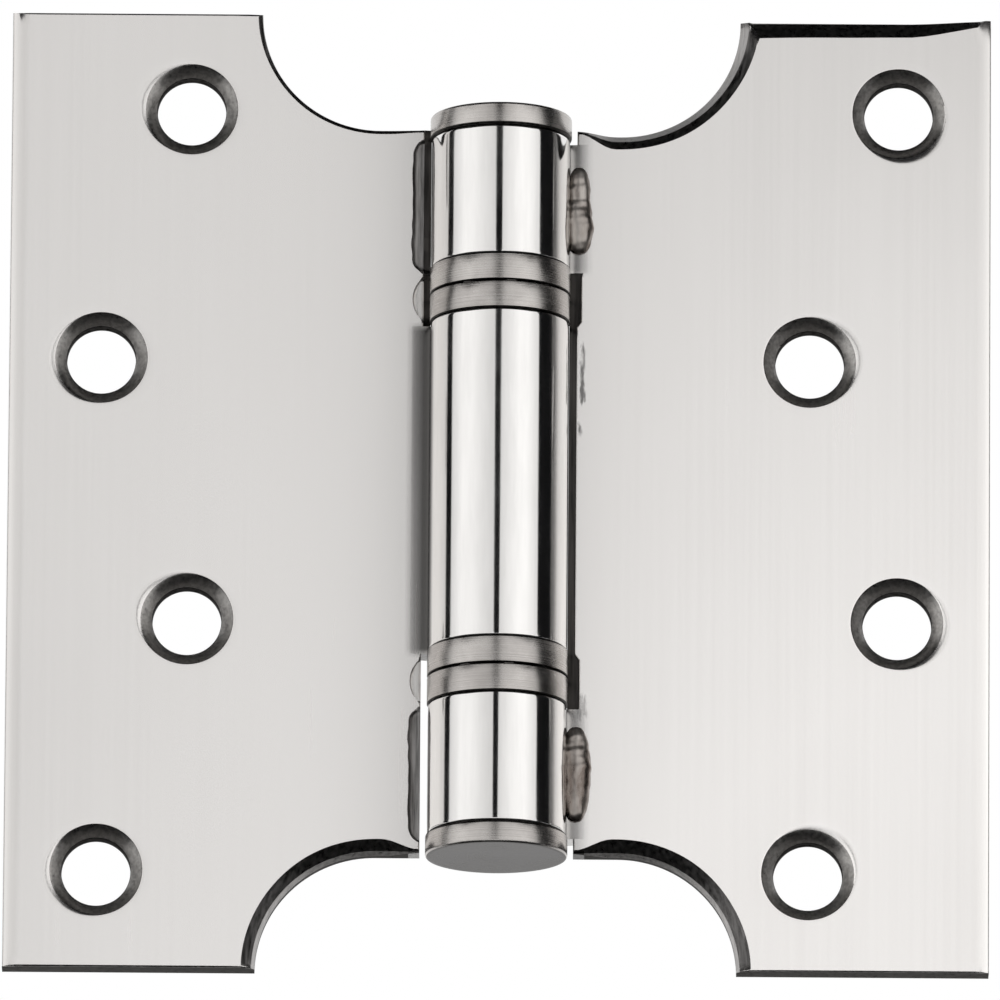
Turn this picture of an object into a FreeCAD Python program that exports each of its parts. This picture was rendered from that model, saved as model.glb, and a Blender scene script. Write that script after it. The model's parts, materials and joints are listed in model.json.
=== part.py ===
# Parliament hinge with rolled knuckles and two ball bearings, opened flat.
# The pin stands along Z through the origin, the right leaf reaches to +X and the
# countersunk front faces -Y. Sizes are in millimetres.
import FreeCAD, Part
import Sketcher
import math
import os

from FreeCAD import Placement, Rotation, Vector

sizes = [
    ("leaf_height", 102.0, "top edge to bottom edge of a leaf"),
    ("leaf_reach", 51.0, "pin axis to the outer edge of a leaf"),
    ("leaf_thickness", 3.0, "sheet thickness"),
    ("leaf_setback", 1.3, "pin axis back to the front face of the leaves"),
    ("arm_reach", 24.9, "pin axis to the corner where the scallop starts"),
    ("scallop_radius", 12.35, "cut-back of a leaf above and below its neck"),
    ("leaf_gap", 0.75, "knuckle to the edge of the other leaf"),
    ("worn_edge", 1.5, "radius of the front edges that polishing has rolled over"),
    ("crisp_edge", 0.3, "broken edge on the rest of the front outline"),
    ("hole_diameter", 7.15, "bore of a screw hole"),
    ("countersink_diameter", 9.6, "rim of a screw hole"),
    ("countersink_angle", 90.0, "included angle of the countersink"),
    ("hole_edge", 9.6, "outer edge of the leaf to the outer column of holes"),
    ("hole_stagger", 9.15, "outer to inner column of holes"),
    ("hole_end", 10.3, "top edge of the leaf to the first row of holes"),
    ("hole_mid_pitch", 27.9, "height between the two middle rows of holes"),
    ("pin_diameter", 8.3, "hinge pin"),
    ("pin_clearance", 0.05, "pin to knuckle bore, on the radius"),
    ("jog_radius", 8.5, "inside radius of the bend from leaf to knuckle"),
    ("seam_gap", 0.25, "rolled end of a knuckle to the face of its leaf"),
    ("knuckle_inset", 1.52, "edge of the neck to the cap's seat on the end knuckle"),
    ("end_knuckle", 13.8, "length of the top and bottom knuckles"),
    ("race_height", 2.85, "height of one bearing race"),
    ("race_gap", 0.12, "running gap between the two races"),
    ("race_proud", 0.1, "race beyond the knuckle, on the radius"),
    ("race_clearance", 0.15, "pin to race, on the radius"),
    ("ball_diameter", 2.2, "bearing ball"),
    ("ball_clearance", 0.05, "ball to the floor of its track"),
    ("ball_space", 1.6, "least room between neighbouring balls"),
    ("cap_thickness", 2.35, "end cap above the knuckle"),
    ("cap_proud", 0.16, "cap beyond the knuckle, on the radius"),
    ("cap_rim", 0.3, "broken outer edge of a cap"),
    ("spigot_length", 4.0, "cap's spigot inside the knuckle"),
    ("relief_width", 1.4, "weld relief milled into the edge of the other leaf"),
    ("relief_depth", 0.5, "depth of the weld relief"),
    ("relief_cutter", 1.5, "radius of the cutter that milled the relief"),
    ("relief_overrun", 0.4, "relief beyond the outer end of the knuckle"),
    ("scoop_radius", 3.1, "bearing scoop at the face of the leaf"),
    ("scoop_reach", 1.15, "bearing scoop into the leaf"),
    ("scoop_depth", 1.2, "bearing scoop below the face of the leaf"),
    ("scoop_floor", 2.1, "radius of the bearing scoop at its floor"),
    ("notch_depth", 0.45, "bearing notch into the edge of the leaf"),
    ("notch_corner", 0.6, "corner radius of the bearing notch"),
    ("weld_start", 2.8, "inner end of the knuckle to the weld bead"),
    ("weld_stop", 1.0, "weld bead to the outer end of the knuckle"),
    ("weld_width", 2.5, "weld bead beyond the knuckle"),
    ("weld_bite", 0.6, "weld bead into the mouth of the seam"),
    ("weld_sink", 0.2, "axis of the bead below the face of the leaf"),
    ("weld_tip", 0.6, "radius of the bead at its ends"),
    ("weld_taper", 1.7, "run-out at each end of the bead"),
    ("weld_dip", 0.4, "dip between the two puddles of the bead"),
    ("weld_dip_half", 0.9, "middle of the dip to the crest of a puddle"),
]

# Lengths that several pieces share
shared = [
    ("pin_radius", "sizes.pin_diameter / 2"),
    ("bore_radius", "sizes.pin_diameter / 2 + sizes.pin_clearance"),
    ("knuckle_radius", "lengths.bore_radius + sizes.leaf_thickness"),
    ("leaf_back", "sizes.leaf_setback + sizes.leaf_thickness"),
    ("leaf_edge", "lengths.knuckle_radius + sizes.leaf_gap"),
    ("jog_front", "sizes.jog_radius + sizes.leaf_thickness"),
    ("jog_start", "sqrt((lengths.knuckle_radius + sizes.jog_radius)^2"
                  " - (lengths.leaf_back + sizes.jog_radius)^2)"),
    ("seam_level", "sizes.leaf_setback - sizes.seam_gap"),
    ("neck_height", "sizes.leaf_height - 2 * sizes.scallop_radius"),
    ("cap_seat", "lengths.neck_height / 2 - sizes.knuckle_inset"),
    ("end_start", "lengths.cap_seat - sizes.end_knuckle"),
    ("middle_end", "lengths.end_start - 2 * sizes.race_height - sizes.race_gap"),
    ("middle_knuckle", "2 * lengths.middle_end"),
    ("bearing_middle", "lengths.middle_end + sizes.race_height + sizes.race_gap / 2"),
    ("relief_end", "lengths.cap_seat + sizes.relief_overrun"),
    ("race_bore", "lengths.pin_radius + sizes.race_clearance"),
    ("race_radius", "lengths.knuckle_radius + sizes.race_proud"),
    ("ball_radius", "sizes.ball_diameter / 2"),
    ("ball_corner", "lengths.ball_radius / cos(22.5 deg)"),
    ("ball_bevel", "lengths.ball_radius * (1 - tan(22.5 deg))"),
    ("ball_pitch", "(lengths.race_bore + lengths.race_radius) / 2"),
    ("track_half", "lengths.ball_radius + sizes.ball_clearance"),
    ("track_outer", "lengths.ball_pitch + lengths.track_half"),
    ("track_floor", "sizes.race_height + sizes.race_gap / 2 - lengths.track_half"),
    ("cap_radius", "lengths.knuckle_radius + sizes.cap_proud"),
    ("pin_end", "lengths.cap_seat - sizes.spigot_length"),
    ("outer_column", "sizes.leaf_reach - sizes.hole_edge"),
    ("inner_column", "sizes.leaf_reach - sizes.hole_edge - sizes.hole_stagger"),
    ("end_row", "sizes.leaf_height / 2 - sizes.hole_end"),
    ("middle_row", "sizes.hole_mid_pitch / 2"),
    ("weld_length", "sizes.end_knuckle - sizes.weld_start - sizes.weld_stop"),
    ("weld_middle", "lengths.end_start + sizes.weld_start + lengths.weld_length / 2"),
    ("weld_across", "lengths.knuckle_radius + (sizes.weld_width - sizes.weld_bite) / 2"),
    ("weld_crest", "(sizes.weld_width + sizes.weld_bite) / 2"),
    ("weld_waist", "lengths.weld_crest - sizes.weld_dip"),
    ("weld_half", "lengths.weld_length / 2"),
    ("puddle_end", "lengths.weld_half - sizes.weld_taper"),
]

doc = FreeCAD.newDocument("parliament_hinge")
sheet = doc.addObject("Spreadsheet::Sheet", "sizes")
for row, (alias, size, note) in enumerate(sizes, start=1):
    sheet.set(f"A{row}", note)
    sheet.set(f"B{row}", str(size))
    sheet.setAlias(f"B{row}", alias)
doc.recompute()
lengths = doc.addObject("App::FeaturePython", "lengths")
for name, expression in shared:
    lengths.addProperty("App::PropertyFloat", name)
    lengths.setExpression(name, expression)
doc.recompute()

near = 0.001


def value(name):
    """Number behind a name such as sizes.leaf_reach or -lengths.cap_seat."""
    owner, field = name.lstrip("-").split(".")
    size = getattr(doc.getObject(owner), field)
    return -size if name.startswith("-") else size


def new_body(label):
    body = doc.addObject("PartDesign::Body", label)
    body.Label = label
    return body


def origin_feature(body, role):
    return [item for item in body.Origin.OriginFeatures if item.Role == role][0]


def new_sketch(body, name, role, depth=None):
    """Sketch on an origin plane of the body, moved along the plane's normal by depth."""
    sketch = body.newObject("Sketcher::SketchObject", f"{body.Label}_{name}")
    sketch.AttachmentSupport = (origin_feature(body, role), [""])
    sketch.MapMode = "FlatFace"
    if depth:
        sketch.setExpression("AttachmentOffset.Base.z", depth)
    return sketch


def relate(sketch, *relations):
    for relation in relations:
        sketch.addConstraint(Sketcher.Constraint(*relation))


def drive(sketch, size, kind, *where):
    """Adds a dimension that follows a named size."""
    index = sketch.addConstraint(Sketcher.Constraint(kind, *where, value(size)))
    sketch.setExpression(f"Constraints[{index}]", size)


def locate(sketch, geometry, point, across, along):
    """Holds a point at two named sizes from the sketch's origin, or on an axis for None."""
    if across:
        drive(sketch, across, "DistanceX", -1, 1, geometry, point)
    else:
        relate(sketch, ("PointOnObject", geometry, point, -2))
    if along:
        drive(sketch, along, "DistanceY", -1, 1, geometry, point)
    else:
        relate(sketch, ("PointOnObject", geometry, point, -1))


def draw_line(sketch, start, end):
    return sketch.addGeometry(Part.LineSegment(Vector(*start, 0), Vector(*end, 0)))


def draw_arc(sketch, centre, radius, start, end):
    circle = Part.Circle(Vector(*centre, 0), Vector(0, 0, 1), radius)
    return sketch.addGeometry(Part.ArcOfCircle(circle, start, end))


def add_feature(body, kind, name, sketch, length, reverse=False):
    """Pad or pocket of a sketch over a named length."""
    feature = body.newObject(f"PartDesign::{kind}", f"{body.Label}_{name}")
    feature.Profile = sketch
    feature.Reversed = reverse
    feature.setExpression("Length", length)
    doc.recompute()


def dress(body, kind, name, edges, size):
    """Fillet or chamfer of the numbered edges of the body so far."""
    base = body.Tip
    feature = body.newObject(f"PartDesign::{kind}", f"{body.Label}_{name}")
    feature.Base = (base, edges)
    feature.setExpression("Radius" if kind == "Fillet" else "Size", size)
    doc.recompute()


def leaf_blank(body):
    """Flat leaf, from the edge beside the barrel out to the straight outer edge."""
    reach, top = sheet.leaf_reach, sheet.leaf_height / 2
    arm, neck, edge = sheet.arm_reach, lengths.neck_height / 2, lengths.leaf_edge
    scallop = sheet.scallop_radius
    sketch = new_sketch(body, "outline", "XZ_Plane", "-sizes.leaf_setback")
    outer = draw_line(sketch, (reach, -top), (reach, top))
    upper = draw_line(sketch, (reach, top), (arm, top))
    upper_scallop = draw_arc(sketch, (arm - scallop, top), scallop, -math.pi / 2, 0)
    upper_neck = draw_line(sketch, (arm - scallop, neck), (edge, neck))
    inner = draw_line(sketch, (edge, neck), (edge, -neck))
    lower_neck = draw_line(sketch, (edge, -neck), (arm - scallop, -neck))
    lower_scallop = draw_arc(sketch, (arm - scallop, -top), scallop, 0, math.pi / 2)
    lower = draw_line(sketch, (arm, -top), (reach, -top))
    relate(
        sketch,
        ("Horizontal", upper),
        ("Horizontal", upper_neck),
        ("Horizontal", lower_neck),
        ("Horizontal", lower),
        ("Coincident", outer, 2, upper, 1),
        ("Coincident", upper, 2, upper_scallop, 2),
        ("Tangent", upper_scallop, 1, upper_neck, 1),
        ("Coincident", upper_neck, 2, inner, 1),
        ("Coincident", inner, 2, lower_neck, 1),
        ("Tangent", lower_neck, 2, lower_scallop, 2),
        ("Coincident", lower_scallop, 1, lower, 1),
        ("Coincident", lower, 2, outer, 1),
        ("PointOnObject", upper_scallop, 3, upper),
        ("PointOnObject", lower_scallop, 3, lower),
        ("Symmetric", outer, 1, outer, 2, -1),
        ("Symmetric", inner, 1, inner, 2, -1),
    )
    drive(sketch, "sizes.leaf_reach", "DistanceX", -1, 1, outer, 1)
    drive(sketch, "sizes.leaf_height", "DistanceY", outer, 1, outer, 2)
    drive(sketch, "sizes.arm_reach", "DistanceX", -1, 1, upper, 2)
    drive(sketch, "sizes.arm_reach", "DistanceX", -1, 1, lower, 1)
    drive(sketch, "lengths.leaf_edge", "DistanceX", -1, 1, inner, 1)
    drive(sketch, "lengths.neck_height", "DistanceY", inner, 2, inner, 1)
    add_feature(body, "Pad", "blank", sketch, "sizes.leaf_thickness", reverse=True)


def front_edge_name(middle):
    """Which stretch of the leaf's front outline a point lies on."""
    if abs(middle.x - lengths.leaf_edge) < near:
        return "inner"
    if abs(middle.x - sheet.leaf_reach) < near:
        return "outer"
    side = "upper" if middle.z > 0 else "lower"
    if abs(abs(middle.z) - sheet.leaf_height / 2) < near:
        return side
    return f"{side} scallop"


def front_edges(body, stretches):
    """Numbered edges of the front face on the named stretches of its outline."""
    names = []
    for index, edge in enumerate(body.Shape.Edges, start=1):
        box = edge.BoundBox
        if max(abs(box.YMin - sheet.leaf_setback), abs(box.YMax - sheet.leaf_setback)) < near:
            middle = edge.valueAt((edge.FirstParameter + edge.LastParameter) / 2)
            if front_edge_name(middle) in stretches:
                names.append(f"Edge{index}")
    return names


def soften_leaf(body, worn):
    """Rolls the worn stretches of the front outline over and breaks the others."""
    stretches = {"outer", "upper", "lower", "upper scallop", "lower scallop"}
    dress(body, "Fillet", "worn_edges", front_edges(body, worn), "sizes.worn_edge")
    crisp = front_edges(body, stretches - worn)
    dress(body, "Chamfer", "crisp_edges", crisp, "sizes.crisp_edge")


def drill_holes(body):
    """Four countersunk screw holes in a zigzag."""
    sketch = new_sketch(body, "hole_centres", "XZ_Plane", "-sizes.leaf_setback")
    places = [
        ("lengths.outer_column", "lengths.end_row"),
        ("lengths.inner_column", "lengths.middle_row"),
        ("lengths.outer_column", "-lengths.middle_row"),
        ("lengths.inner_column", "-lengths.end_row"),
    ]
    for across, along in places:
        centre = Vector(value(across), value(along), 0)
        circle = sketch.addGeometry(Part.Circle(centre, Vector(0, 0, 1), sheet.hole_diameter / 2))
        drive(sketch, "sizes.hole_diameter", "Diameter", circle)
        locate(sketch, circle, 3, across, along)
    doc.recompute()
    hole = body.newObject("PartDesign::Hole", f"{body.Label}_screw_holes")
    hole.Profile = sketch
    hole.ThreadType = "None"
    hole.DepthType = "ThroughAll"
    hole.HoleCutType = "Countersink"
    hole.HoleCutCustomValues = True
    hole.setExpression("Diameter", "sizes.hole_diameter")
    hole.setExpression("HoleCutDiameter", "sizes.countersink_diameter")
    hole.setExpression("HoleCutCountersinkAngle", "sizes.countersink_angle")
    doc.recompute()


def roll_knuckle(body, name, start, length):
    """Bends a tongue of the leaf back and rolls it round the pin, from a height upwards."""
    window = body.newObject("PartDesign::SubtractiveBox", f"{body.Label}_{name}_window")
    window.setExpression("Length", "lengths.jog_start")
    window.setExpression("Width", "lengths.leaf_back")
    window.setExpression("Height", length)
    window.setExpression("Placement.Base.z", start)
    doc.recompute()

    sketch = new_sketch(body, f"{name}_roll", "XY_Plane", start)
    outer, bore = lengths.knuckle_radius, lengths.bore_radius
    front, back, seam = sheet.leaf_setback, lengths.leaf_back, lengths.seam_level
    jog_x, jog_y = lengths.jog_start, lengths.leaf_back + sheet.jog_radius
    root = jog_x + sheet.leaf_thickness
    jog_angle = math.atan2(jog_y, jog_x)
    turn = 2 * math.pi
    outside = draw_arc(sketch, (0, 0), outer, jog_angle, turn + math.asin(seam / outer))
    inside = draw_arc(sketch, (0, 0), bore, jog_angle, turn + math.asin(seam / bore))
    jog = ((jog_x, jog_y), math.pi + jog_angle, 1.5 * math.pi)
    jog_back = draw_arc(sketch, jog[0], sheet.jog_radius, jog[1], jog[2])
    jog_front = draw_arc(sketch, jog[0], lengths.jog_front, jog[1], jog[2])
    lip_start = (math.sqrt(bore ** 2 - seam ** 2), seam)
    lip = draw_line(sketch, lip_start, (math.sqrt(outer ** 2 - seam ** 2), seam))
    front_line = draw_line(sketch, (jog_x, front), (root, front))
    root_line = draw_line(sketch, (root, front), (root, back))
    back_line = draw_line(sketch, (root, back), (jog_x, back))
    relate(
        sketch,
        ("Coincident", outside, 3, -1, 1),
        ("Coincident", inside, 3, -1, 1),
        ("Tangent", outside, 1, jog_back, 1),
        ("Tangent", inside, 1, jog_front, 1),
        ("Tangent", jog_back, 2, back_line, 2),
        ("Tangent", jog_front, 2, front_line, 1),
        ("Coincident", front_line, 2, root_line, 1),
        ("Coincident", root_line, 2, back_line, 1),
        ("Coincident", lip, 1, inside, 2),
        ("Coincident", lip, 2, outside, 2),
        ("Horizontal", lip),
        ("Horizontal", front_line),
        ("Horizontal", back_line),
        ("Vertical", root_line),
    )
    drive(sketch, "lengths.knuckle_radius", "Radius", outside)
    drive(sketch, "lengths.bore_radius", "Radius", inside)
    drive(sketch, "sizes.jog_radius", "Radius", jog_back)
    drive(sketch, "lengths.jog_front", "Radius", jog_front)
    drive(sketch, "lengths.seam_level", "DistanceY", -1, 1, lip, 1)
    drive(sketch, "sizes.leaf_setback", "DistanceY", -1, 1, front_line, 1)
    drive(sketch, "lengths.leaf_back", "DistanceY", -1, 1, back_line, 1)
    drive(sketch, "sizes.leaf_thickness", "DistanceX", front_line, 1, front_line, 2)
    add_feature(body, "Pad", f"{name}_knuckle", sketch, length)


def mill_slot(body, name, reach, cutter, low, high, depth):
    """Round-ended slot along the edge beside the barrel, reaching into the leaf's front."""
    sketch = new_sketch(body, f"{name}_path", "XZ_Plane", "-sizes.leaf_setback")
    radius = value(cutter)
    far = lengths.leaf_edge + value(reach)
    bottom, top = value(low) + radius, value(high) - radius
    upper_end = draw_arc(sketch, (far - radius, top), radius, 0, math.pi)
    lower_end = draw_arc(sketch, (far - radius, bottom), radius, math.pi, 2 * math.pi)
    far_side = draw_line(sketch, (far, bottom), (far, top))
    near_side = draw_line(sketch, (far - 2 * radius, top), (far - 2 * radius, bottom))
    relate(
        sketch,
        ("Tangent", far_side, 2, upper_end, 1),
        ("Tangent", upper_end, 2, near_side, 1),
        ("Tangent", near_side, 2, lower_end, 1),
        ("Tangent", lower_end, 2, far_side, 1),
        ("Vertical", far_side),
    )
    drive(sketch, cutter, "Radius", upper_end)
    place_slot = [
        ("DistanceX", f"lengths.leaf_edge + {reach}", far_side, 1),
        ("DistanceY", f"{low} + {cutter}", lower_end, 3),
        ("DistanceY", f"{high} - {cutter}", upper_end, 3),
    ]
    starts = (far, bottom, top)
    for (kind, expression, geometry, point), start in zip(place_slot, starts):
        index = sketch.addConstraint(Sketcher.Constraint(kind, -1, 1, geometry, point, start))
        sketch.setExpression(f"Constraints[{index}]", expression)
    add_feature(body, "Pocket", name, sketch, depth)


def scoop_edge(body, name, height):
    """Shallow conical scoop in the leaf's front edge, level with a bearing."""
    scoop = body.newObject("PartDesign::SubtractiveCone", f"{body.Label}_{name}")
    scoop.Placement = Placement(Vector(), Rotation(Vector(1, 0, 0), -90))
    scoop.setExpression("Radius1", "sizes.scoop_radius")
    scoop.setExpression("Radius2", "sizes.scoop_floor")
    scoop.setExpression("Height", "sizes.scoop_depth")
    reach = "lengths.leaf_edge + sizes.scoop_reach - sizes.scoop_radius"
    scoop.setExpression("Placement.Base.x", reach)
    scoop.setExpression("Placement.Base.y", "sizes.leaf_setback")
    scoop.setExpression("Placement.Base.z", height)
    doc.recompute()


def make_right_leaf():
    """Leaf with the top and bottom knuckles."""
    leaf = new_body("right_leaf")
    leaf_blank(leaf)
    soften_leaf(leaf, {"upper", "upper scallop", "lower scallop"})
    drill_holes(leaf)
    ends = {"upper": "lengths.end_start", "lower": "-lengths.cap_seat"}
    bearings = {"upper": ("lengths.middle_end", "lengths.end_start"),
                "lower": ("-lengths.end_start", "-lengths.middle_end")}
    for side, start in ends.items():
        roll_knuckle(leaf, side, start, "sizes.end_knuckle")
    for side, (low, high) in bearings.items():
        mill_slot(leaf, f"{side}_notch", "sizes.notch_depth", "sizes.notch_corner",
                  low, high, "sizes.leaf_thickness")
    return leaf


def make_left_leaf():
    """Leaf with the middle knuckle, the same blank turned half round about Y."""
    leaf = new_body("left_leaf")
    leaf_blank(leaf)
    soften_leaf(leaf, {"upper scallop"})
    drill_holes(leaf)
    roll_knuckle(leaf, "middle", "-lengths.middle_end", "lengths.middle_knuckle")
    reliefs = {"upper": ("lengths.end_start", "lengths.relief_end"),
               "lower": ("-lengths.relief_end", "-lengths.end_start")}
    for side, (low, high) in reliefs.items():
        mill_slot(leaf, f"{side}_relief", "sizes.relief_width", "sizes.relief_cutter",
                  low, high, "sizes.relief_depth")
    scoop_edge(leaf, "upper_scoop", "lengths.bearing_middle")
    scoop_edge(leaf, "lower_scoop", "-lengths.bearing_middle")
    leaf.Placement = Placement(Vector(), Rotation(Vector(0, 1, 0), 180))
    doc.recompute()
    return leaf


def turned_body(label, corners):
    """Body turned about Z from a closed outline of named (radius, height) corners."""
    body = new_body(label)
    sketch = new_sketch(body, "section", "XZ_Plane")
    points = [[value(name) if name else 0.0 for name in corner] for corner in corners]
    count = len(points)
    for index, point in enumerate(points):
        draw_line(sketch, point, points[(index + 1) % count])
    for index, (across, along) in enumerate(corners):
        relate(sketch, ("Coincident", index, 2, (index + 1) % count, 1))
        locate(sketch, index, 1, across, along)
    turn = body.newObject("PartDesign::Revolution", f"{label}_turning")
    turn.Profile = sketch
    turn.ReferenceAxis = (sketch, ["V_Axis"])
    doc.recompute()
    return body


def make_weld(label, leaf, side):
    """Bead of two puddles in the corner between a knuckle and the face of its leaf."""
    bead = turned_body(f"{label}_bead", [
        (None, "-lengths.weld_half"),
        ("sizes.weld_tip", "-lengths.weld_half"),
        ("lengths.weld_crest", "-lengths.puddle_end"),
        ("lengths.weld_crest", "-sizes.weld_dip_half"),
        ("lengths.weld_waist", None),
        ("lengths.weld_crest", "sizes.weld_dip_half"),
        ("lengths.weld_crest", "lengths.puddle_end"),
        ("sizes.weld_tip", "lengths.weld_half"),
        (None, "lengths.weld_half"),
    ])
    bead.setExpression("Placement.Base.x", "lengths.weld_across")
    bead.setExpression("Placement.Base.y", "sizes.leaf_setback + sizes.weld_sink")
    bead.setExpression("Placement.Base.z", f"{side} * lengths.weld_middle")
    weld = doc.addObject("Part::Cut", label)
    weld.Label = label
    weld.Base = bead
    weld.Tool = leaf
    doc.recompute()
    return weld


def rim_edges(body, radius, height):
    """Numbered edges of a turned body that are circles of the given radius at a height."""
    names = []
    for index, edge in enumerate(body.Shape.Edges, start=1):
        if isinstance(edge.Curve, Part.Circle) and abs(edge.Curve.Radius - radius) < near:
            if abs(edge.Curve.Center.z - height) < near:
                names.append(f"Edge{index}")
    return names


def stand(body, height, upside_down=False):
    """Sets a turned body on the pin axis at a named height."""
    body.Placement = Placement(Vector(), Rotation(Vector(1, 0, 0), 180 if upside_down else 0))
    body.setExpression("Placement.Base.z", height)
    doc.recompute()


def make_race(label, height, upside_down):
    """Bearing ring whose running face is cut away inside its wall for the balls."""
    race = turned_body(label, [
        ("lengths.race_bore", None),
        ("lengths.race_radius", None),
        ("lengths.race_radius", "sizes.race_height"),
        ("lengths.track_outer", "sizes.race_height"),
        ("lengths.track_outer", "lengths.track_floor"),
        ("lengths.race_bore", "lengths.track_floor"),
    ])
    stand(race, height, upside_down)
    return race


def octagon(sketch, corner_radius):
    """Regular octagon about the sketch's origin, flat side down."""
    sides = 8
    turn = 2 * math.pi / sides
    radius = value(corner_radius)
    corners = []
    for index in range(sides):
        angle = (index + 0.5) * turn - math.pi / 2
        corners.append((radius * math.cos(angle), radius * math.sin(angle)))
    for index, corner in enumerate(corners):
        draw_line(sketch, corner, corners[(index + 1) % sides])
    rim = sketch.addGeometry(Part.Circle(Vector(), Vector(0, 0, 1), radius), True)
    relate(sketch, ("Coincident", rim, 3, -1, 1), ("Vertical", 1))
    for index in range(sides):
        relate(
            sketch,
            ("Coincident", index, 2, (index + 1) % sides, 1),
            ("PointOnObject", index, 1, rim),
        )
    for index in range(1, sides):
        relate(sketch, ("Equal", 0, index))
    drive(sketch, corner_radius, "Radius", rim)


def make_balls(label, height):
    """Ring of loose balls between two races, each with eight flats round and eight up."""
    balls = new_body(label)
    sketch = new_sketch(balls, "flats", "XY_Plane", "-lengths.ball_radius")
    sketch.setExpression("AttachmentOffset.Base.x", "lengths.ball_pitch")
    octagon(sketch, "lengths.ball_corner")
    add_feature(balls, "Pad", "block", sketch, "sizes.ball_diameter")
    block = balls.Tip
    ends = [f"Edge{index}" for index, edge in enumerate(balls.Shape.Edges, start=1)
            if edge.BoundBox.ZLength < near]
    dress(balls, "Chamfer", "bevels", ends, "lengths.ball_bevel")
    ring = balls.newObject("PartDesign::PolarPattern", f"{label}_ring")
    ring.Originals = [block, balls.Tip]
    ring.Axis = (origin_feature(balls, "Z_Axis"), [""])
    spacing = "(sizes.ball_diameter + sizes.ball_space)"
    ring.setExpression("Occurrences", f"floor(2 * pi * lengths.ball_pitch / {spacing})")
    balls.Tip = ring
    stand(balls, height)
    return balls


def make_pin():
    """Plain pin between the spigots of the two caps."""
    return turned_body("hinge_pin", [
        (None, "-lengths.pin_end"),
        ("lengths.pin_radius", "-lengths.pin_end"),
        ("lengths.pin_radius", "lengths.pin_end"),
        (None, "lengths.pin_end"),
    ])


def make_cap(label, height, upside_down):
    """Flat cap whose spigot is pressed into the end of the knuckle."""
    cap = turned_body(label, [
        (None, "-sizes.spigot_length"),
        ("lengths.bore_radius", "-sizes.spigot_length"),
        ("lengths.bore_radius", None),
        ("lengths.cap_radius", None),
        ("lengths.cap_radius", "sizes.cap_thickness"),
        (None, "sizes.cap_thickness"),
    ])
    rim = rim_edges(cap, lengths.cap_radius, sheet.cap_thickness)
    dress(cap, "Chamfer", "rim", rim, "sizes.cap_rim")
    stand(cap, height, upside_down)
    return cap


right_leaf = make_right_leaf()
parts = [
    make_left_leaf(),
    right_leaf,
    make_weld("top_knuckle_weld", right_leaf, 1),
    make_weld("bottom_knuckle_weld", right_leaf, -1),
    make_pin(),
    make_cap("top_end_cap", "lengths.cap_seat", False),
    make_cap("bottom_end_cap", "-lengths.cap_seat", True),
    make_race("upper_bearing_upper_race", "lengths.end_start", True),
    make_race("upper_bearing_lower_race", "lengths.middle_end", False),
    make_balls("upper_bearing_balls", "lengths.bearing_middle"),
    make_race("lower_bearing_upper_race", "-lengths.middle_end", True),
    make_race("lower_bearing_lower_race", "-lengths.end_start", False),
    make_balls("lower_bearing_balls", "-lengths.bearing_middle"),
]

for item in doc.Objects:
    if "Invalid" in item.State or "Error" in item.State:
        raise RuntimeError(f"{item.Label} could not be built: {item.getStatusString()}")
for piece in parts:
    if piece.Shape.isNull() or not piece.Shape.isValid():
        raise RuntimeError(f"{piece.Label} has no sound shape")

os.makedirs("parts", exist_ok=True)
for piece in parts:
    piece.Shape.exportStep(f"parts/{piece.Label}.step")
    print(f"{piece.Label}: {len(piece.Shape.Solids)} solids, {piece.Shape.Volume:.1f} mm3")
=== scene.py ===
import json
import math
import bmesh
import bpy
from mathutils import Matrix, Vector, noise


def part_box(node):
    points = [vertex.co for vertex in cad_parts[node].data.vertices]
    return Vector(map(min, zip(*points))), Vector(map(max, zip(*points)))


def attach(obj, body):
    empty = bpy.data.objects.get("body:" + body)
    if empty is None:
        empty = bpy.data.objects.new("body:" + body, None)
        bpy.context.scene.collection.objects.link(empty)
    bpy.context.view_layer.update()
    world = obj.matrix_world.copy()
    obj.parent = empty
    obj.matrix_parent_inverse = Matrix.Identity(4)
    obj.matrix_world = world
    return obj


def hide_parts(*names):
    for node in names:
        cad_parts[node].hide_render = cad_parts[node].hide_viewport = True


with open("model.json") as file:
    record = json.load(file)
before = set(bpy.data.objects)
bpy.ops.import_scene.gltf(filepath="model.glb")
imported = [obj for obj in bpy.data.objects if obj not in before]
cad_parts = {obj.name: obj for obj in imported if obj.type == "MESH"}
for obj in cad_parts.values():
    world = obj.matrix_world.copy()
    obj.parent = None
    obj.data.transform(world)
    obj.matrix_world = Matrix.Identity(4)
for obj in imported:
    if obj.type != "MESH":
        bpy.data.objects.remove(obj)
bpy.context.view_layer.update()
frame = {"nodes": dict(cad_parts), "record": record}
mm = 0.001
tiny = 1e-7
merge = 0.001 * mm  # points closer than this become one


# Places along the barrel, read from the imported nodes
def readBarrel():
    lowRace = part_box("upper_bearing_lower_race")
    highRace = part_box("upper_bearing_upper_race")
    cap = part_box("top_end_cap")
    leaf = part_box("right_leaf")
    mounts = {mount["name"]: mount for mount in frame["record"]["mounts"]}
    spigot = 4.0 * mm  # of a cap, inside the end knuckle
    return {
        "capSeat": cap[0].z + spigot,
        "spigot": spigot,
        "middleEnd": lowRace[0].z,
        "raceHeight": lowRace[1].z - lowRace[0].z,
        "endStart": highRace[1].z,
        "raceRadius": highRace[1].x,
        "capTop": cap[1].z,
        "capRadius": cap[1].x,
        "knuckleRadius": -leaf[0].x,
        "reach": leaf[1].x,
        "top": leaf[1].z,
        "pinRadius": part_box("hinge_pin")[1].x,
        "back": mounts["right_leaf_back"]["pos_m"][1],
    }


barrel = readBarrel()
sheetThick = 3.0 * mm
sheetFront = barrel["back"] - sheetThick


def smoothStep(value):
    value = min(1.0, max(0.0, value))
    return value * value * (3 - 2 * value)


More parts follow.
